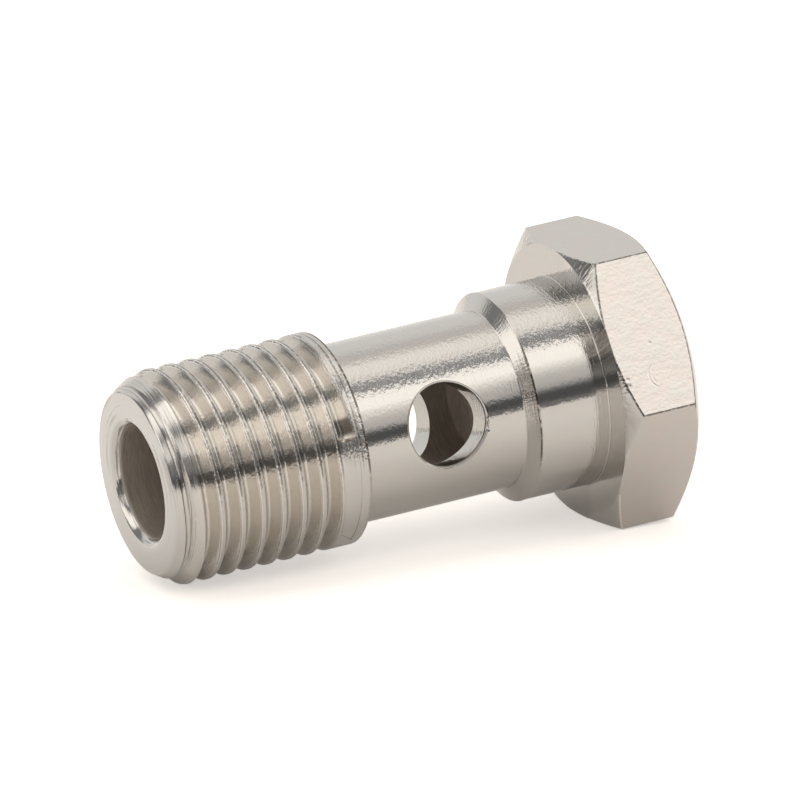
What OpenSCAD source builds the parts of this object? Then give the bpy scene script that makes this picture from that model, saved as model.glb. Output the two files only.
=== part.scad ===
// Banjo bolt: a hollow bolt that clamps a ring fitting against its port. The fluid
// runs from the ring through the cross hole and out along the bore in the threaded
// end. It is one piece, turned from hexagon bar and then drilled.
//
// It is shaped standing on its axis, threaded end down, with the middle of the seat
// under the head at the origin. Then it is laid down as it comes to rest, on one
// flat of the head and on the start of the thread.

/* [Thread] */
// Diameter over the thread crests of the quarter inch pipe thread
thread_d = 13.16; // [10.9:0.01:16]
// Length from the end face to the shoulder behind the thread
thread_length = 12.5; // [9:0.1:20]
// Radius that the lead chamfer takes off at the end face
lead_depth = 0.97; // [0.3:0.01:1.5]
// Angle of the lead chamfer, from the axis
lead_angle = 32; // [20:1:50]
// Rounding between the end face and the lead chamfer
end_round = 0.35; // [0:0.05:0.6]

/* [Waist] */
// Step in radius from the thread crests down to the waist
shoulder_step = 1.04; // [0.3:0.01:1.4]
// Length of the waist, where the cross hole is
waist_length = 10.8; // [8.5:0.1:20]
// Fillet where the waist meets the shoulder
shoulder_fillet = 0.3; // [0:0.05:0.8]

/* [Collar] */
// Step in radius from the waist up to the collar that centres the washer
collar_step = 0.96; // [0.3:0.01:1.4]
// Length of the collar with its chamfer, up to the seat
collar_length = 5.2; // [2:0.1:12]
// Length of the chamfer in front of the collar
collar_lead = 0.56; // [0.1:0.01:1.5]
// Fillet where the collar meets the seat
seat_fillet = 0.12; // [0:0.01:0.4]

/* [Head] */
// Width of the hexagon across its flats
head_flats = 17; // [16.2:0.1:24]
// Height of the head, from the seat to its end face
head_height = 5.4; // [4.2:0.1:12]
// Distance that the chamfer round the seat starts outside the flats' inner circle
seat_overhang = 0.03; // [0:0.01:0.2]
// Angle of the chamfer round the seat, from the seat
seat_chamfer = 29; // [15:1:35]
// Distance from the rim of the end face to the flats
end_inset = 0.83; // [0.1:0.01:1.5]
// Angle of the chamfer round the end face, from that face
end_chamfer = 30; // [15:1:35]

/* [Passages] */
// Diameter of the bore along the axis
bore_d = 7; // [4:0.1:8.6]
// Size of the chamfer at the mouth of the bore
bore_chamfer = 0.45; // [0.1:0.05:0.5]
// Depth of the bore past the cross hole
bore_past = 1.5; // [0.5:0.1:4]
// Point angle of the drill that made the bore
drill_point = 118; // [90:1:140]
// Diameter of the cross hole through both walls
cross_d = 5.1; // [3:0.1:6.4]
// Distance from the foot of the collar to the middle of the cross hole
cross_to_collar = 5.05; // [4:0.05:7]
// Turn of the cross hole from the nearest flat of the head
cross_turn = 17; // [-30:1:30]
// Distance by which the cross hole misses the axis
cross_offset = 0.33; // [0:0.01:0.8]

/* [Hidden] */
$fn = 96;

thread_r = thread_d / 2;
shank_r = thread_r - shoulder_step;
collar_r = shank_r + collar_step;
flat_r = head_flats / 2;
corner_r = flat_r / cos(30);
seat_r = flat_r + seat_overhang;
end_face_r = flat_r - end_inset;
bore_r = bore_d / 2;

collar_z = -collar_length;
shoulder_z = collar_z - waist_length;
tip_z = shoulder_z - thread_length;
lead_length = lead_depth / tan(lead_angle);
cross_z = collar_z - cross_to_collar;
bore_end_z = cross_z + cross_d / 2 + bore_past;

// The blank is wider than the bar's corners, so that both head chamfers run out
blank_r = corner_r + 1;
seat_rise = (blank_r - seat_r) * tan(seat_chamfer);
end_drop = (blank_r - end_face_r) * tan(end_chamfer);

// The bolt rests on the straight middle of a flat's front edge, which the seat's
// chamfer doesn't reach, and on the first full crest
rest_tilt = atan((flat_r - thread_r) / -(tip_z + lead_length));

// Flats turn 60 degrees at a time from the one underneath, and the cross hole
// opens near the second of them
cross_direction = -120 + cross_turn;

// Edge breaks that a turned edge gets from the tool or a file
edge_break = 0.1;
// Clear length that a cutter stands out past the face it cuts
overcut = 1;

// One corner [r, z, fillet] of an outline as the points of its arc. The fillet is
// kept within half of the shorter side that meets there.
function corner_points(before, corner, after, steps = 5) =
    let (
        side_a = [before.x - corner.x, before.y - corner.y],
        side_b = [after.x - corner.x, after.y - corner.y],
        unit_a = side_a / norm(side_a),
        unit_b = side_b / norm(side_b),
        half_angle = acos(unit_a * unit_b) / 2,
        room = min(norm(side_a), norm(side_b)) / 2,
        radius = min(corner[2], room * tan(half_angle)),
        mid = (unit_a + unit_b) / norm(unit_a + unit_b),
        centre = [corner.x, corner.y] + mid * radius / sin(half_angle),
        across = [unit_a.x - unit_b.x, unit_a.y - unit_b.y] / norm(unit_a - unit_b),
        sweep = 90 - half_angle
    )
    radius == 0
        ? [[corner.x, corner.y]]
        : [for (i = [0 : steps])
              let (turn = sweep * (1 - 2 * i / steps))
              centre - mid * radius * cos(turn) + across * radius * sin(turn)];

// The whole outline with every corner rounded by its own fillet
function rounded_outline(corners) =
    let (count = len(corners))
    [for (i = [0 : count - 1])
        each corner_points(corners[(i + count - 1) % count], corners[i], corners[(i + 1) % count])];

// Everything that the lathe leaves: thread blank, waist, collar and head chamfers
module turned_form() {
    rotate_extrude()
        polygon(rounded_outline([
            [0, tip_z, 0],
            [thread_r - lead_depth, tip_z, end_round],
            [thread_r, tip_z + lead_length, 0],
            [thread_r, shoulder_z, edge_break],
            [shank_r, shoulder_z, shoulder_fillet],
            [shank_r, collar_z, 0],
            [collar_r, collar_z + collar_lead, edge_break],
            [collar_r, 0, seat_fillet],
            [seat_r, 0, 0],
            [blank_r, seat_rise, 0],
            [blank_r, head_height - end_drop, 0],
            [end_face_r, head_height, edge_break],
            [0, head_height, 0]
        ]));
}

// The bar that it is turned from, with one flat towards +X
module hexagon_bar() {
    translate([0, 0, tip_z - overcut])
        rotate([0, 0, 30])
            linear_extrude(height = head_height - tip_z + 2 * overcut)
                circle(r = corner_r, $fn = 6);
}

// The drilled bore, from its chamfered mouth to the cone left by the drill point
module bore_cut() {
    mouth_r = bore_r + bore_chamfer + overcut;
    rotate_extrude()
        polygon([
            [0, tip_z - overcut],
            [mouth_r, tip_z - overcut],
            [bore_r, tip_z + bore_chamfer],
            [bore_r, bore_end_z],
            [0, bore_end_z + bore_r / tan(drill_point / 2)]
        ]);
}

// The cross hole, which opens through both walls of the waist
module cross_cut() {
    rotate([0, 0, cross_direction])
        translate([0, cross_offset, cross_z])
            rotate([0, 90, 0])
                cylinder(h = 2 * (thread_r + overcut), d = cross_d, center = true);
}

module banjo_bolt() {
    color([0.79, 0.77, 0.75])
        rotate([0, 90 - rest_tilt, 0])
            difference() {
                intersection() {
                    hexagon_bar();
                    turned_form();
                }
                bore_cut();
                cross_cut();
            }
}

banjo_bolt();
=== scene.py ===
import math
import bmesh
import bpy
from mathutils import Matrix, Vector


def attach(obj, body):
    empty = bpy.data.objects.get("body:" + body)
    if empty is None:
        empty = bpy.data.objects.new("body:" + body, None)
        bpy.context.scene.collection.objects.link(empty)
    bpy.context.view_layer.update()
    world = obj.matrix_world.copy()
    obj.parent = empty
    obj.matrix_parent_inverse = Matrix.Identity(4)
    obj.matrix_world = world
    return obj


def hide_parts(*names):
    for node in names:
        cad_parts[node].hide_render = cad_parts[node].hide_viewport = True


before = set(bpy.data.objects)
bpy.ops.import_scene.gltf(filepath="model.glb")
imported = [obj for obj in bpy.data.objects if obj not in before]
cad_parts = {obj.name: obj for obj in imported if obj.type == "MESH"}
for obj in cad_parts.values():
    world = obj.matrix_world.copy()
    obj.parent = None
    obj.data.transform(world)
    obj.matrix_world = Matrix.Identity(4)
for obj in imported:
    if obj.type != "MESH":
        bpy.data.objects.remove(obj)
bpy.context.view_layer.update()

mm = 0.001
weldWithin = 0.0005 * mm
print("frame loaded")

# The bolt is shaped standing on its axis, with its seat at the origin, and then laid down on one flat and the
# thread. Turns round the axis are counted from the underside, and the near side is at -90 degrees.
pose = {
    "tilt": 4.0754,         # nose down, so that the first crest touches the floor
    "floorHeight": -8.4785,
}
tilt = math.radians(pose["tilt"])
layDown = Matrix((
    (math.sin(tilt), 0, math.cos(tilt)),
    (0, 1, 0),
    (-math.cos(tilt), 0, math.sin(tilt)),
)).to_4x4()


def newPiece(name, bm):
    mesh = bpy.data.meshes.new(name)
    bm.to_mesh(mesh)
    bm.free()
    piece = bpy.data.objects.new(name, mesh)
    bpy.context.scene.collection.objects.link(piece)
    return piece


def outline(corners, closed=False):
    # each corner is its radius, its height and how far its rounding reaches along both sides
    bm = bmesh.new()
    points = [bm.verts.new((radius * mm, 0, height * mm)) for radius, height, rounding in corners]
    for a, b in zip(points, points[1:]):
        bm.edges.new((a, b))
    if closed:
        bm.edges.new((points[-1], points[0]))
    for point, (radius, height, rounding) in zip(points, corners):
        if rounding:
            bmesh.ops.bevel(bm, geom=[point], offset=rounding * mm, offset_type="OFFSET", segments=4,
                            profile=0.5, affect="VERTICES", material=-1)
    return bm


def ofKind(parts, kind):
    return [part for part in parts if isinstance(part, kind)]


def isClosed(bm):
    return all(len(edge.link_faces) == 2 for edge in bm.edges)


def outwardAt(degrees):
    angle = math.radians(degrees)
    return Vector((math.cos(angle), math.sin(angle), 0))


def turnBy(bm, verts, degrees, axis="Z"):
    turn = Matrix.Rotation(math.radians(degrees), 3, axis)
    bmesh.ops.rotate(bm, cent=(0, 0, 0), matrix=turn, verts=verts)


def raiseBy(bm, verts, height):
    bmesh.ops.translate(bm, vec=(0, 0, height * mm), verts=verts)


def spinRound(bm, geom, angle, steps, climb=0, merge=False):
    bmesh.ops.spin(bm, geom=geom, cent=(0, 0, 0), axis=(0, 0, 1), dvec=(0, 0, climb * mm / steps),
                   angle=angle, steps=steps, use_merge=merge, use_duplicate=False)


def cutAway(bm, point, outward):
    # everything past the plane goes, and the cut is closed with one face
    cut = bmesh.ops.bisect_plane(bm, geom=bm.verts[:] + bm.edges[:] + bm.faces[:], dist=0.0002 * mm,
                                 plane_co=point, plane_no=outward, clear_outer=True)
    bmesh.ops.edgeloop_fill(bm, edges=ofKind(cut["geom_cut"], bmesh.types.BMEdge))


def subtract(piece, tool):
    cut = piece.modifiers.new("cut", "BOOLEAN")
    cut.operation = "DIFFERENCE"
    cut.solver = "MANIFOLD"
    cut.object = tool
    bpy.context.view_layer.update()
    result = bpy.data.meshes.new_from_object(piece.evaluated_get(bpy.context.evaluated_depsgraph_get()))
    piece.modifiers.remove(cut)
    piece.data = result
    bpy.data.objects.remove(tool)


# bore, thread blank, waist, collar and head chamfers are one turned outline
blank = {
    "steps": 256,
    "corners": (
        (0, -4.1, 0),           # point left by the drill
        (3.5, -6.2, 0.15),
        (3.5, -28.1, 0.2),      # chamfer at the bore's mouth
        (3.88, -28.5, 0.2),
        (5.61, -28.5, 0.12),    # lead chamfer
        (6.58, -26.95, 0.1),
        (6.58, -16, 0.09),      # shoulder behind the thread
        (5.54, -16, 0.2),
        (5.54, -5.19, 0.05),    # collar, with the burr left at the end of its chamfer
        (6.47, -4.63, 0),
        (6.5, -4.58, 0),
        (6.475, -4.52, 0),
        (6.5, 0, 0.07),
        (8.53, 0, 0),           # seat, then the chamfer round it
        (10.8, 1.26, 0),
        (10.8, 3.66, 0),
        (7.67, 5.4, 0.06),
        (0, 5.4, 0),
    ),
}
bm = outline(blank["corners"])
spinRound(bm, bm.verts[:] + bm.edges[:], math.tau, blank["steps"], merge=True)
bmesh.ops.remove_doubles(bm, verts=bm.verts, dist=weldWithin)
bmesh.ops.recalc_face_normals(bm, faces=bm.faces)
print("blank closed", isClosed(bm), len(bm.faces))
bolt = newPiece("bolt", bm)

# the thread is one groove, swept along a right-hand helix from its drawn-out end behind the shoulder
thread = {
    "pitch": 1.337,
    "crest": 6.583,             # a hair over the blank, so that the groove's lips break its surface
    "root": 5.724,
    "lipHalfWidth": 0.5585,
    "lipRounding": 0.05,
    "rootHalfWidth": 0.1114,
    "rootRounding": 0.1,
    "cutterHalfWidth": 0.655,   # past the lips, clear of the blank
    "cutterRise": 0.5,
    "endHeight": -17.24,        # middle of the last groove, where the tool was drawn out
    "endAngle": -107,
    "turns": 10,
    "turnSteps": 144,
    "drawOut": ((0.9, 0.05), (0.9, 0.16), (0.7, 0.3), (0.4, 0.45)),    # degrees on, and how far out
}
halfSection = (
    (thread["crest"] + thread["cutterRise"], thread["cutterHalfWidth"], 0),
    (thread["crest"], thread["cutterHalfWidth"], 0),
    (thread["crest"], thread["lipHalfWidth"], thread["lipRounding"]),
    (thread["root"], thread["rootHalfWidth"], thread["rootRounding"]),
)
lowerHalf = tuple((radius, -height, rounding) for radius, height, rounding in halfSection)
bm = outline(lowerHalf + halfSection[::-1], closed=True)
raiseBy(bm, bm.verts, thread["endHeight"])
turnBy(bm, bm.verts, thread["endAngle"])
spinRound(bm, bm.edges[:], -math.tau, thread["turnSteps"], climb=-thread["pitch"])
oneTurn = bm.verts[:] + bm.edges[:] + bm.faces[:]
for turn in range(1, thread["turns"]):
    copied = bmesh.ops.duplicate(bm, geom=oneTurn)["geom"]
    raiseBy(bm, ofKind(copied, bmesh.types.BMVert), -turn * thread["pitch"])
bmesh.ops.remove_doubles(bm, verts=bm.verts, dist=weldWithin)
firstTurnDown = (thread["endHeight"] - thread["pitch"]) * mm
lastLoop = [edge for edge in bm.edges if edge.is_boundary and edge.verts[0].co.z > firstTurnDown]
outward = outwardAt(thread["endAngle"])
for degrees, out in thread["drawOut"]:
    grown = bmesh.ops.extrude_edge_only(bm, edges=lastLoop)["geom"]
    ring = ofKind(grown, bmesh.types.BMVert)
    inRing = set(ring)
    lastLoop = [edge for edge in ofKind(grown, bmesh.types.BMEdge) if inRing.issuperset(edge.verts)]
    turnBy(bm, ring, degrees)
    bmesh.ops.translate(bm, vec=outward * out * mm, verts=ring)
bmesh.ops.holes_fill(bm, edges=[edge for edge in bm.edges if edge.is_boundary], sides=0)
bmesh.ops.recalc_face_normals(bm, faces=bm.faces)
print("groove closed", isClosed(bm), len(bm.faces))
subtract(bolt, newPiece("groove", bm))

# the shallow track that the tool left past the groove's end, with its slanting stop
track = {
    "from": -106,
    "to": -25,
    "steps": 34,
    "low": -17.63,
    "high": -16.67,
    "floor": 6.55,
    "clear": 7.15,
    "stopLow": -45.4,       # turns at which the stop meets the track's two sides
    "stopHigh": -35.9,
}
bm = outline((
    (track["floor"], track["low"], 0),
    (track["floor"], track["high"], 0),
    (track["clear"], track["high"], 0),
    (track["clear"], track["low"], 0),
), closed=True)
turnBy(bm, bm.verts, track["from"])
trackStart = bmesh.ops.contextual_create(bm, geom=bm.edges[:])["faces"]
spinRound(bm, trackStart, math.radians(track["to"] - track["from"]), track["steps"])
stopFrom = outwardAt(track["stopLow"]) * thread["crest"] + Vector((0, 0, track["low"]))
stopTo = outwardAt(track["stopHigh"]) * thread["crest"] + Vector((0, 0, track["high"]))
stopMiddle = (stopFrom + stopTo) / 2
pastStop = (stopTo - stopFrom).cross(Vector((stopMiddle.x, stopMiddle.y, 0)))
if pastStop.dot(outwardAt(track["to"])) < 0:
    pastStop.negate()
cutAway(bm, stopMiddle * mm, pastStop.normalized())
bmesh.ops.recalc_face_normals(bm, faces=bm.faces)
print("track closed", isClosed(bm), len(bm.faces))
subtract(bolt, newPiece("track", bm))

crossHole = {"radius": 2.55, "length": 16, "height": -10.25, "offset": 0.33, "direction": -103, "steps": 128}
bm = bmesh.new()
bmesh.ops.create_cone(bm, cap_ends=True, cap_tris=False, segments=crossHole["steps"],
                      radius1=crossHole["radius"] * mm, radius2=crossHole["radius"] * mm,
                      depth=crossHole["length"] * mm)
turnBy(bm, bm.verts, 90, "Y")
bmesh.ops.translate(bm, vec=(0, crossHole["offset"] * mm, crossHole["height"] * mm), verts=bm.verts)
turnBy(bm, bm.verts, crossHole["direction"])
subtract(bolt, newPiece("drill", bm))
print("thread cut and cross hole drilled")

# the hexagon, with a small round along every edge of its flats
head = {
    "sides": 6,
    "toFlat": 8.5,
    "seatRim": 8.53,
    "frontChamfer": 29,
    "edgeRounding": 0.07,
    "sharpBelow": 0.06,     # the front chamfer runs to nothing low on a flat
    "sharpAngle": 24,
    "leastFlatArea": 40,
}
bm = bmesh.new()
bm.from_mesh(bolt.data)
onFlat = bm.faces.layers.float.new("flat")
onEdge = bm.faces.layers.float.new("edge")
for side in range(head["sides"]):
    outward = outwardAt(side * 360 / head["sides"])
    cutAway(bm, outward * head["toFlat"] * mm, outward)
bmesh.ops.recalc_face_normals(bm, faces=bm.faces)


def isFlat(face):
    upright = abs(face.normal.z) < 0.01
    fromAxis = face.calc_center_median().xy.length / mm
    area = face.calc_area() / mm ** 2
    return upright and abs(fromAxis - head["toFlat"]) < 0.5 and area > head["leastFlatArea"]


def isSeat(face):
    return abs(face.normal.z) > 0.9999 and abs(face.calc_center_median().z) < 0.001 * mm


flats = [face for face in bm.faces if isFlat(face)]
print("flats", len(flats))
for face in flats:
    face[onFlat] = 1
flatEdges = list({edge for face in flats for edge in face.edges
                  if min(vert.co.z for vert in edge.verts) > head["sharpBelow"] * mm})
flatCorners = list({vert for edge in flatEdges for vert in edge.verts})
rounded = bmesh.ops.bevel(bm, geom=flatEdges + flatCorners, offset=head["edgeRounding"] * mm,
                          offset_type="OFFSET", segments=3, profile=0.5, affect="EDGES",
                          clamp_overlap=False, material=-1, loop_slide=True)
for face in rounded["faces"]:
    face[onEdge] = 1
    face[onFlat] = 0
for face in bm.faces:
    face.smooth = face[onFlat] < 0.5 and not isSeat(face)
for edge in bm.edges:
    edge.smooth = len(edge.link_faces) == 2 and edge.calc_face_angle(0) < math.radians(head["sharpAngle"])
bmesh.ops.transform(bm, matrix=layDown, verts=bm.verts)
print("bolt closed", isClosed(bm), len(bm.faces), "volume in cubic mm", bm.calc_volume() / mm ** 3)
bm.to_mesh(bolt.data)
bm.free()
weighted = bolt.modifiers.new("faceWeighted", "WEIGHTED_NORMAL")
weighted.keep_sharp = True
weighted.weight = 50


class Signal:
    # one output socket; arithmetic on it adds Math nodes beside it
    def __init__(self, shading, socket):
        self.shading = shading
        self.socket = socket

    def __add__(self, other):
        return self.shading.math("ADD", self, other)

    def __radd__(self, other):
        return self.shading.math("ADD", other, self)

    def __sub__(self, other):
        return self.shading.math("SUBTRACT", self, other)

    def __rsub__(self, other):
        return self.shading.math("SUBTRACT", other, self)

    def __mul__(self, other):
        return self.shading.math("MULTIPLY", self, other)

    def __rmul__(self, other):
        return self.shading.math("MULTIPLY", other, self)

    def __truediv__(self, other):
        return self.shading.math("DIVIDE", self, other)

    def __abs__(self):
        return self.shading.math("ABSOLUTE", self)


class Shading:
    # the node tree of one material or world
    def __init__(self, owner):
        owner.use_nodes = True
        self.tree = owner.node_tree
        self.tree.nodes.clear()

    def node(self, kind, settings=None, inputs=None, output=0):
        made = self.tree.nodes.new(kind)
        for name, value in (settings or {}).items():
            if name == "stops":
                self.setStops(made.color_ramp, value)
            else:
                setattr(made, name, value)
        for name, value in (inputs or {}).items():
            if isinstance(value, Signal):
                self.tree.links.new(value.socket, made.inputs[name])
            else:
                made.inputs[name].default_value = value
        return Signal(self, made.outputs[output]) if made.outputs else made

    def setStops(self, ramp, stops):
        while len(ramp.elements) < len(stops):
            ramp.elements.new(1)
        for element, (place, colour) in zip(ramp.elements, stops):
            element.position = place
        for element, (place, colour) in zip(ramp.elements, stops):
            element.color = (*colour, 1)

    def math(self, operation, *values):
        return self.node("ShaderNodeMath", {"operation": operation}, dict(enumerate(values)))

    def vectorMath(self, operation, a, b):
        return self.node("ShaderNodeVectorMath", {"operation": operation}, {0: a, 1: b}, "Value")

    def vector(self, x, y, z):
        return self.node("ShaderNodeCombineXYZ", None, {"X": x, "Y": y, "Z": z})

    def length(self, x, y):
        return self.math("SQRT", x * x + y * y)

    def angle(self, y, x):
        return self.math("DEGREES", self.math("ARCTAN2", y, x))

    def fade(self, value, low, high):
        # 0 below low and 1 above high; the other way round where low is the larger
        return self.node("ShaderNodeMapRange", {"interpolation_type": "SMOOTHSTEP"},
                         {"Value": value, "From Min": low, "From Max": high})

    def between(self, value, low, high, soft):
        return self.fade(value, low - soft, low + soft) * self.fade(value, high + soft, high - soft)

    def product(self, measures, limits):
        # each limit names a measure and gives a fade's two values, or a low, a high and a softness
        mask = 1
        for name, *values in limits:
            within = self.between if len(values) == 3 else self.fade
            mask = within(measures[name], *values) * mask
        return mask

    def noise(self, vector, scale, detail, roughness):
        # even noise round zero, about -0.3 to 0.3
        grain = self.node("ShaderNodeTexNoise", {"noise_dimensions": "3D"},
                          {"Vector": vector, "Scale": scale, "Detail": detail, "Roughness": roughness}, "Fac")
        return grain - 0.5

    def mix(self, factor, a, b):
        return self.node("ShaderNodeMix", {"data_type": "RGBA"}, {0: factor, 6: a, 7: b}, 2)


# bright nickel over brass; heights are in mm
nickel = {
    "colour": (0.583, 0.561, 0.538, 1),
    "cooler": (0.57, 0.557, 0.537, 1),          # faint clouds in the plating
    "flatColour": (0.6, 0.548, 0.52, 1),
    "flatCloud": (0.58, 0.558, 0.53, 1),
    "endColour": (0.61, 0.6, 0.595, 1),
    "grooveColour": (0.605, 0.57, 0.525, 1),    # warmer down in the thread
    "grooveStreak": (0.54, 0.505, 0.46, 1),
    # the next colour is a painted highlight, lighter than the plating
    "highlightColour": (0.74, 0.715, 0.68, 1),     # mostly on the flanks that face the head
    "boreColour": (0.66, 0.605, 0.555, 1),
    "boreStreak": (0.5, 0.455, 0.415, 1),
    # a dark colour for real marks and for painted shade alike
    "darkMarkAndShadeColour": (0.16, 0.145, 0.13, 1),
    "roughness": 0.1,
    "boreRoughness": 0.6,
    "landRoughness": 0.2,
    "lipHeight": 0.02,
    "rimBreak": 0.06,
    "ringEdgeHeight": 0.05,
    "arcDepth": 0.009,
    "arcCentre": (-1.95, -8.68, 2.65),
    # where the painted shade patches on the seat and the cone are centred, in degrees round the axis
    "seatShadeTurn": -121,
    "coneShadeTurn": -148,
}
# where each look is, by the measures below, in mm and degrees
zones = {
    "bore": (("radius", 3.56, 3.53), ("along", -3.7, -3.9)),
    "hole": (("fromRim", 0.03, 0.01), ("radius", 3.55, 3.6)),
    "rim": (("fromRim", 0.14, 0), ("radius", 5.25, 5.45)),
    "rimLine": (("fromRim", 0.11, 0.17, 0.02), ("radius", 5.3, 5.4), ("rimSide", 0.4, 1.6)),
    "mouth": (("along", -27.9, -28.1), ("radius", 4.1, 4)),
    "tipFace": (("along", -28.4, -28.48), ("radius", 3.8, 4)),
    "leadChamfer": (("along", -26.7, -27.1),),
    "threaded": (("turns", -0.4, -0.5), ("along", -27.1, -26.9)),
    "land": (("fromGroove", 0.56, 0.6), ("radius", 6.5, 6.55)),
    "lip": (("fromGroove", 0.49, 0.55), ("fromGroove", 0.61, 0.55), ("radius", 6.4, 6.5)),
    # where the painted shade line along the lips goes
    "lipLine": (("fromGroove", 0.585, 0.62), ("radius", 6.45, 6.52)),
    "lipShine": (("fromGroove", 0.48, 0.575, 0.02), ("radius", 6.3, 6.4)),
    "groove": (("radius", 6.5, 6.3), ("along", -16.1, -16.2), ("along", -27.6, -27)),
    "headSide": (("fromMiddle", -0.05, 0.08),),
    "tipSide": (("fromMiddle", 0, -0.12),),
    # painted shade at the end of the last groove
    "grooveEndShade": (("around", -118, -108.5, 1.5), ("along", -17.9, -16.6, 0.1), ("radius", 6.5, 6.4)),
    # a painted highlight on the scoop where the tool was drawn out
    "scoopHighlight": (("around", -106.8, -103.2, 0.6), ("along", -17.7, -17, 0.15)),
    "ring": (("along", -17.7, -16.02, 0.15), ("radius", 6.3, 6.4)),
    "ringLine": (("along", -16.52, -16.42, 0.03),),
    "ringEdge": (("along", -16.35, -16.02, 0.04),),
    "shoulderLine": (("along", -16.16, -16.01, 0.03), ("radius", 6.3, 6.4)),
    "waist": (("along", -16, -5.2, 0.1),),
    "collarChamfer": (("along", -5.19, -4.63, 0.03),),
    "collarLine": (("along", -4.66, -4.56, 0.02), ("downward", -0.9, -0.55), ("downward", 0.55, 0.3)),
    "collar": (("along", -4.5, -0.1, 0.05), ("radius", 6.7, 6.6)),
    "seat": (("along", -0.05, 0.04, 0.015), ("radius", 6.6, 6.65), ("radius", 8.56, 8.53)),
    # a painted highlight: lighter colour on one side of the seat
    "seatHighlight": (("across", -1.5, -3),),
    # painted shade on the seat
    "paintedSeatShade": (("fromSeatPatch", 13, 4),),
    "seatAndCone": (("along", -0.07, 1.4, 0.05),),
    "cone": (("along", 0.02, 0.1), ("along", 1.4, 1.3), ("radius", 8.53, 8.6)),
    # painted shade on the cone
    "paintedConeShade": (("fromConePatch", 14, 6),),
    "nearFlat": (("outToNearFlat", 8.4, 8.46),),
    "frontEdge": (("fromChamfer", -0.03, 0.07, 0.02),),
    "sideEdge": (("under", 0.5, 0.2), ("fromChamfer", 0.05, 0.15)),
    # a painted highlight along the rounded edges on the lower side of the flats
    "lowerEdgeHighlight": (("under", 2, 4),),
    "innerArc": (("fromArc", 0.55, 0.62, 0.05),),
    "outerArc": (("fromArc", 0.78, 0.85, 0.05),),
    "arcHalf": (("along", 2.35, 2.05),),
    "endFace": (("along", 5.28, 5.38),),
    "top": (("downward", -0.45, -0.72),),
    "upper": (("downward", 0.1, -0.1),),
    "upperLine": (("downward", 0.1, -0.05),),
    "upperBurr": (("downward", 0.2, -0.1),),
}
# relief: pattern, the zone that it keeps to, its height, its share all over and the share that each zone adds
relief = (
    ("strokes", "stroked", 0.009, 0.4, {"waist": 0.6, "scuffed": 3, "land": 2, "groove": 1}),
    ("strokes", "stroked", 0.018, 0, {"turnedTop": 1}),
    ("rings", "turned", 0.007, 1, {"lead": 4, "scuffed": 4, "land": 3, "mouth": 2.5, "endFace": 1}),
    ("fineRings", "turned", 0.009, 0, {"lead": 1, "scuffed": 1, "upperLand": 1}),
    ("chatter", "turned", 0.009, 0, {"seatAndCone": 1, "collarChamfer": 1, "cone": 1.5}),
    ("grain", "bolt", 0.007, 0.4, {"flat": 0.6}),
    ("drawn", "bolt", 0.0025, 0, {"flat": 1}),
    ("peel", "bolt", 0.011, 0.3, {"flat": 0.7}),
    ("beads", "bolt", 0.06, 0, {"edge": 1}),
)
# small dents: place under, across and along the bolt, reach and depth
dents = (
    (-0.05, -5.54, -7.64, 0.22, 0.03),
    (2.54, -4.92, -11.45, 0.16, 0.014),
    (3.39, -4.38, -11.96, 0.2, 0.012),
    (1.72, -6.06, -21.1, 0.12, 0.02),
    (-3.72, -7.67, 2.55, 0.16, 0.014),
    (-1.71, -8.83, 0.36, 0.28, 0.03),
    (-2.08, -8.61, 0.44, 0.18, 0.02),
    (-8.54, -4.89, 4.16, 0.16, 0.03),
    (3.3, 0.95, -28.4, 0.22, 0.03),
)
plated = bpy.data.materials.new("brightNickelOverBrass")
s = Shading(plated)
place = s.node("ShaderNodeTexCoord", None, None, "Object")
along = s.vectorMath("DOT_PRODUCT", place, (math.cos(tilt) / mm, 0, math.sin(tilt) / mm))
across = s.vectorMath("DOT_PRODUCT", place, (0, 1 / mm, 0))
under = s.vectorMath("DOT_PRODUCT", place, (math.sin(tilt) / mm, 0, -math.cos(tilt) / mm))
onBolt = s.vector(under, across, along)
radius = s.length(across, under)
downward = under / radius       # 1 on the underside, -1 on top
sideward = across / radius
around = s.angle(across, under)

# place across the thread's groove, positive towards the head
turns = (along - thread["endHeight"]) / thread["pitch"] - (around - thread["endAngle"]) / 360
fromMiddle = (s.math("FRACT", turns + 0.5) - 0.5) * thread["pitch"]

# place by the axis of the cross hole
drill = math.radians(crossHole["direction"])
aside = across * math.cos(drill) - under * math.sin(drill) - crossHole["offset"]
upFromDrill = along - crossHole["height"]

# how far behind the front chamfer's edge, on the flats
chamferEnd = s.math("MAXIMUM", (radius - head["seatRim"]) * math.tan(math.radians(head["frontChamfer"])), 0)

measures = {
    "along": along,
    "across": across,
    "under": under,
    "radius": radius,
    "downward": downward,
    "around": around,
    "turns": turns,
    "fromMiddle": fromMiddle,
    "fromGroove": abs(fromMiddle),
    "fromRim": s.length(aside, upFromDrill) - crossHole["radius"],
    "rimSide": upFromDrill + under,
    "outToNearFlat": under * -0.5 - across * math.cos(math.radians(30)),
    "fromChamfer": along - chamferEnd,
    # degrees from the middles of the painted shade patches
    "fromSeatPatch": abs(around - nickel["seatShadeTurn"]),
    "fromConePatch": abs(around - nickel["coneShadeTurn"]),
    "fromArc": s.vectorMath("DISTANCE", onBolt, nickel["arcCentre"]),
}
on = {name: s.product(measures, limits) for name, limits in zones.items()}
on["bolt"] = 1
for attribute in ("flat", "edge"):
    on[attribute] = s.node("ShaderNodeAttribute", {"attribute_name": attribute}, None, "Fac")
on["turned"] = (1 - on["flat"]) * (1 - on["edge"])
on["stroked"] = on["turned"] * (1 - on["endFace"])
on["turnedTop"] = (on["waist"] + on["collar"] * 1.3) * on["top"]
on["lead"] = on["leadChamfer"] * (1 - on["bore"])
on["scuffed"] = on["ring"] * on["upper"]        # the ring's upper half is rougher
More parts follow.
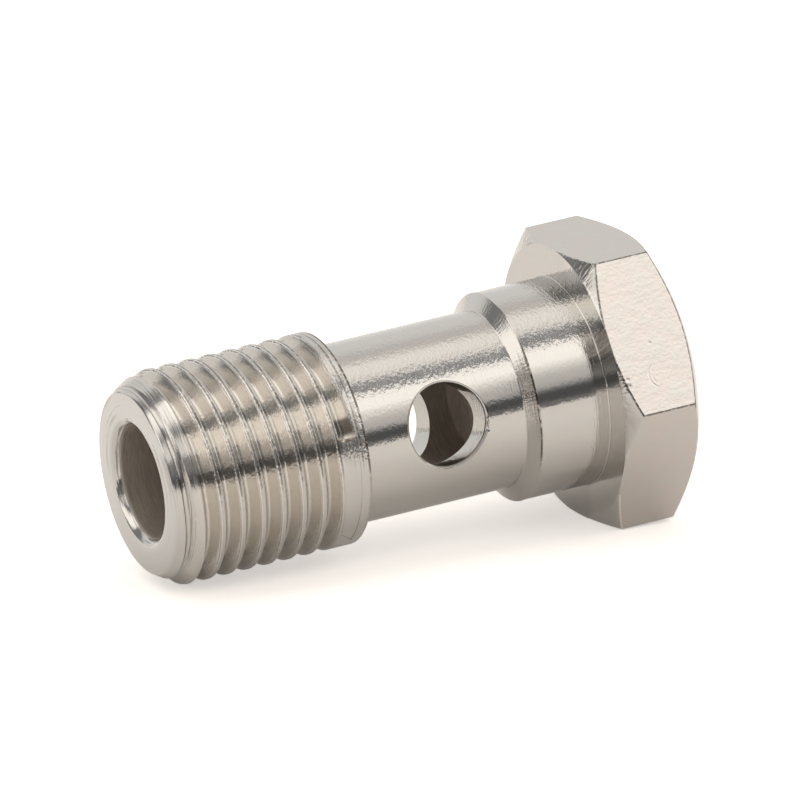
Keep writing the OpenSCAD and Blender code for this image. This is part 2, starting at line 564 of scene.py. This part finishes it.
on["land"] = on["land"] * on["threaded"]
on["upperLand"] = on["land"] * on["upper"]
on["groove"] = on["groove"] * (1 - on["bore"])


def lathePattern(advance, perMm, perTurn, detail=2, roughness=0.6):
    return s.noise(s.vector(advance * perMm, downward * perTurn, sideward * perTurn), 1, detail, roughness)


patterns = {
    "strokes": lathePattern(along + radius, 7, 20),
    "rings": lathePattern(along + radius * 0.35, 8, 1.3),
    "fineRings": lathePattern(along + radius, 20, 2.5),
    "chatter": lathePattern(along + radius, 1.2, 45, 1, 0.5),
    "boreMarks": lathePattern(along, 16, 3, 3, 0.7),
    "grain": s.noise(onBolt, 4.3, 2, 0.6),
    "drawn": s.noise(s.vector(under * 5, across * 5, along * 0.35), 1, 2, 0.6),
    "peel": s.noise(onBolt, 1.1, 3, 0.55),
    "beads": s.noise(onBolt, 4, 1, 0.5),
}
beads = patterns["beads"]
chatter = patterns["chatter"]
peel = patterns["peel"]
strokes = patterns["strokes"]

height = 0
for pattern, keptTo, tallest, allOver, added in relief:
    share = allOver
    for zone, more in added.items():
        share = share + on[zone] * more
    height = height + patterns[pattern] * share * on[keptTo] * tallest
height = height + on["lip"] * on["threaded"] * (1 + beads * 2) * nickel["lipHeight"]
height = height - on["rim"] * on["rim"] * nickel["rimBreak"]
height = height + on["ringEdge"] * on["scuffed"] * beads * nickel["ringEdgeHeight"]
height = height - (on["innerArc"] + on["outerArc"]) * on["arcHalf"] * on["flat"] * nickel["arcDepth"]
for dentUnder, dentAcross, dentAlong, reach, depth in dents:
    fromDent = s.vectorMath("DISTANCE", onBolt, (dentUnder, dentAcross, dentAlong))
    height = height - s.fade(fromDent, reach, 0) * depth

# dull, broken lines where a cut ends in a burr, and painted shade: patches on the seat and the cone, a line
# along the lips, the cross hole's wall and the groove's end
broken = s.fade(beads + strokes * 0.5, -0.15, 0)
burrLines = on["shoulderLine"] * (0.3 + on["upperBurr"]) + on["ringLine"] * on["scuffed"] * 0.7 \
    + on["collarLine"] + on["rimLine"] * 0.8
# a painted shade line along the lips, stronger on the upper half
lipShadeLines = on["lipLine"] * on["threaded"] * (0.2 + on["upperLine"])
roughEdges = on["nearFlat"] * on["frontEdge"] + on["edge"] * on["sideEdge"]
leadAndMouth = on["lead"] * on["upperBurr"] * 0.35 + on["mouth"] * 0.45
scuffs = s.fade(patterns["fineRings"], 0.06, 0.16) * on["scuffed"] * 0.5 \
    + s.fade(patterns["rings"], 0.05, 0.16) * leadAndMouth
# painted shade patches on the seat and the cone
shadePatches = on["seat"] * on["paintedSeatShade"] * (0.85 + chatter) \
    + on["cone"] * on["turned"] * on["paintedConeShade"] * (0.3 + chatter)
# dark marks and painted shade together; the cross hole's wall and the groove's end are painted shade
darkMarksAndShade = burrLines * (0.25 + broken * 0.75) + lipShadeLines * (0.2 + broken * 0.4) \
    + roughEdges * (0.35 + broken * 0.5) + scuffs + shadePatches + on["hole"] * 0.15 + on["grooveEndShade"] * 0.6
# painted highlights: a lighter colour on the flanks that face the head, on the lips, on one side of the seat,
# on the lower edges of the flats and on the groove's scoop
paintedHighlights = on["groove"] * on["tipSide"] + on["threaded"] * on["lipShine"] \
    + on["seat"] * on["seatHighlight"] * 0.5 + on["edge"] * on["lowerEdgeHighlight"] + on["scoopHighlight"]
grooveMarks = s.fade(strokes + beads * 0.4, -0.05, 0.25) * 0.7

flatClouds = s.fade(peel + patterns["grain"] * 0.5, -0.12, 0.12)
flatColour = s.mix(flatClouds, nickel["flatColour"], nickel["flatCloud"])
grooveColour = s.mix(grooveMarks, nickel["grooveColour"], nickel["grooveStreak"])
boreColour = s.mix(s.fade(patterns["boreMarks"], -0.2, 0.2), nickel["boreStreak"], nickel["boreColour"])
colour = s.mix(s.fade(peel, -0.1, 0.1), nickel["colour"], nickel["cooler"])
for mask, over in (
    (on["flat"], flatColour),
    (on["tipFace"], nickel["endColour"]),
    (on["groove"] * on["headSide"], grooveColour),
    # the painted highlights
    (s.math("MINIMUM", paintedHighlights, 1), nickel["highlightColour"]),
    (on["bore"], boreColour),
    # dark marks and painted shade
    (s.math("MINIMUM", darkMarksAndShade, 1), nickel["darkMarkAndShadeColour"]),
):
    colour = s.mix(mask, colour, over)
roughness = nickel["roughness"] + on["bore"] * (nickel["boreRoughness"] - nickel["roughness"]) \
    + (1 - on["bore"]) * (on["land"] + on["ring"]) * (nickel["landRoughness"] - nickel["roughness"])
bump = s.node("ShaderNodeBump", None, {"Strength": 1, "Distance": mm, "Height": height}, "Normal")
shader = s.node("ShaderNodeBsdfPrincipled", None,
                {"Base Color": colour, "Metallic": 1, "Roughness": roughness, "Normal": bump})
s.node("ShaderNodeOutputMaterial", None, {"Surface": shader})
bolt.data.materials.clear()
bolt.data.materials.append(plated)

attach(bolt, "root")
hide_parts("banjo_bolt")
print("plating made")

# white paper; its glow is what the camera sees, and in reflections a weak fill that fades towards the bolt
paper = {
    "halfSize": 4,
    "colour": (0.9, 0.87, 0.835, 1),
    "glow": (1, 0.97, 0.94, 1),
    "cameraGlow": 0.5,
    "fillNear": 0.08,
    "fillAdded": 0.1,
    "fillFrom": 0.004,      # distances in m from the bolt's middle, which counts its length for less
    "fillTo": 0.03,
    "lengthwise": 0.4,
    "boltMiddle": -0.0045,
}
bm = bmesh.new()
bmesh.ops.create_grid(bm, x_segments=1, y_segments=1, size=paper["halfSize"])
raiseBy(bm, bm.verts, pose["floorHeight"])
floor = newPiece("floor", bm)
whitePaper = bpy.data.materials.new("whitePaper")
s = Shading(whitePaper)
seenByCamera = s.node("ShaderNodeLightPath", None, None, "Is Camera Ray")
seenInGloss = s.node("ShaderNodeLightPath", None, None, "Is Glossy Ray")
seenThrough = s.node("ShaderNodeLightPath", None, None, "Is Transmission Ray")
spot = s.node("ShaderNodeTexCoord", None, None, "Object")
squeezed = s.node("ShaderNodeMapping", {"vector_type": "POINT"},
                  {"Vector": spot, "Scale": (paper["lengthwise"], 1, 1)})
fromBolt = s.vectorMath("DISTANCE", squeezed, (paper["boltMiddle"], 0, pose["floorHeight"] * mm))
fill = paper["fillNear"] + s.fade(fromBolt, paper["fillFrom"], paper["fillTo"]) * paper["fillAdded"]
strength = (seenByCamera + seenThrough) * paper["cameraGlow"] + seenInGloss * fill
matt = s.node("ShaderNodeBsdfDiffuse", None, {"Color": paper["colour"]})
glow = s.node("ShaderNodeEmission", None, {"Color": paper["glow"], "Strength": strength})
both = s.node("ShaderNodeAddShader", None, {0: matt, 1: glow})
s.node("ShaderNodeOutputMaterial", None, {"Surface": both})
floor.data.materials.append(whitePaper)

# past the left and the near edge of the paper the table is dark, which only reflections see
darkTable = {"left": -90, "near": -230, "abovePaper": 0.2, "colour": (0.07, 0.07, 0.075, 1)}
bm = bmesh.new()
left = darkTable["left"] * mm
near = darkTable["near"] * mm
for centre in ((left - 1, 0, 0), (left + 1, near - 1, 0)):
    sheet = bmesh.ops.create_grid(bm, x_segments=1, y_segments=1, size=1)
    bmesh.ops.translate(bm, vec=centre, verts=sheet["verts"])
raiseBy(bm, bm.verts, pose["floorHeight"] + darkTable["abovePaper"])
table = newPiece("darkTable", bm)
table.visible_camera = False
table.visible_diffuse = False
table.visible_transmission = False
table.visible_shadow = False
tableTop = bpy.data.materials.new("darkTableTop")
s = Shading(tableTop)
shader = s.node("ShaderNodeBsdfDiffuse", None, {"Color": darkTable["colour"]})
s.node("ShaderNodeOutputMaterial", None, {"Surface": shader})
table.data.materials.append(tableTop)

studio = {
    # soft boxes and gaps round the bolt's length: degrees up from the near horizon, level and warmth
    "bands": (
        (0, 0.3, 0), (2.5, 0.15, 0), (4, 0.11, 0), (12, 0.11, 0), (15, 0.25, 0), (18, 0.55, 0.5),
        (21, 0.68, 1), (27, 0.74, 1), (32, 0.86, 1), (36, 1.08, 1), (40, 1.25, 1), (44, 1.54, 1),
        (61, 1.54, 1), (62.5, 1.35, 1), (65.5, 0.48, 0), (68, 0.38, 0), (75, 0.38, 0), (78, 0.6, 0),
        (80, 0.8, 0.5), (85, 1, 1), (92, 1.12, 1), (104, 1.2, 1), (109, 1, 1), (114, 0.78, 1),
        (122, 0.72, 1), (130, 0.84, 0.6), (140, 0.93, 0.5), (160, 0.87, 0.5), (180, 0.94, 0.5),
    ),
    # cards over them: level, warmth and limits, each a low, a high and a softness. Heading is from the near
    # side and positive towards the head, band is the angle above, and lean is how far it points to the head.
    "cards": (
        (1.4, 1, (("band", 79, 106, 5), ("lean", -0.72, 0.25, 0.08))),
        (1.08, 1, (("band", 38, 58, 4), ("lean", -0.95, 0.15, 0.08))),
        (0.25, 0, (("band", 60, 68, 3), ("lean", -0.95, 0.15, 0.08))),
        (0.34, 0.5, (("band", 14, 35, 3.5), ("lean", -0.95, 0.15, 0.08))),
        (1.55, 1, (("heading", -121, -93, 6), ("height", -5, 72, 6))),
        (0.28, 0, (("heading", -147, -123, 6), ("height", -5, 60, 6))),
        (0.2, 0, (("heading", -100, -45, 5), ("height", -20, 4, 5))),
        (0.22, 0, (("heading", -91, -45, 6), ("height", -20, 13, 8))),
        (1.62, 1, (("heading", 36, 80, 4), ("height", 30, 50, 3))),
        (1.35, 1, (("heading", 58, 80, 5), ("height", 6, 50, 6))),
    ),
}


def lightColour(level, warmth):
    # full warmth is 4 percent more red and 6 percent less blue
    return (level * (1 + 0.04 * warmth), level, level * (1 - 0.06 * warmth))


room = bpy.data.worlds.new("studio")
bpy.context.scene.world = room
s = Shading(room)
toRoom = s.node("ShaderNodeTexCoord", None, None, "Generated")
toHead = s.vectorMath("DOT_PRODUCT", toRoom, (1, 0, 0))
toNear = s.vectorMath("DOT_PRODUCT", toRoom, (0, -1, 0))
toTop = s.vectorMath("DOT_PRODUCT", toRoom, (0, 0, 1))
measures = {
    "lean": toHead,
    "band": s.angle(toTop, toNear),
    "heading": s.angle(toHead, toNear),
    "height": s.math("DEGREES", s.math("ARCSINE", toTop)),
}
stops = [(degrees / 180, lightColour(level, warmth)) for degrees, level, warmth in studio["bands"]]
light = s.node("ShaderNodeValToRGB", {"stops": stops}, {"Fac": measures["band"] / 180}, "Color")
for level, warmth, limits in studio["cards"]:
    light = s.mix(s.product(measures, limits), light, (*lightColour(level, warmth), 1))
background = s.node("ShaderNodeBackground", None, {"Color": light, "Strength": 1})
s.node("ShaderNodeOutputWorld", None, {"Surface": background})
print("studio lit")

view = {
    "place": (-306.24, -655.34, 208.24),
    "right": (0.90666, -0.42026, -0.03692),
    "down": (-0.14904, -0.23719, -0.95997),
    "forward": (0.39468, 0.87587, -0.27769),
    "lens": 556.4,
    "sensorWidth": 36,
    "nearest": 0.01,        # in m
    "farthest": 50,
}
camera = bpy.data.objects.new("camera", bpy.data.cameras.new("camera"))
bpy.context.scene.collection.objects.link(camera)
right, down, forward = (Vector(view[axis]).normalized() for axis in ("right", "down", "forward"))
facing = Matrix((right, -down, -forward)).transposed().to_4x4()
camera.matrix_world = Matrix.Translation(Vector(view["place"]) * mm) @ facing
camera.data.lens = view["lens"]
camera.data.sensor_width = view["sensorWidth"]
camera.data.clip_start = view["nearest"]
camera.data.clip_end = view["farthest"]
bpy.context.scene.camera = camera
bpy.context.scene.view_settings.view_transform = "Standard"
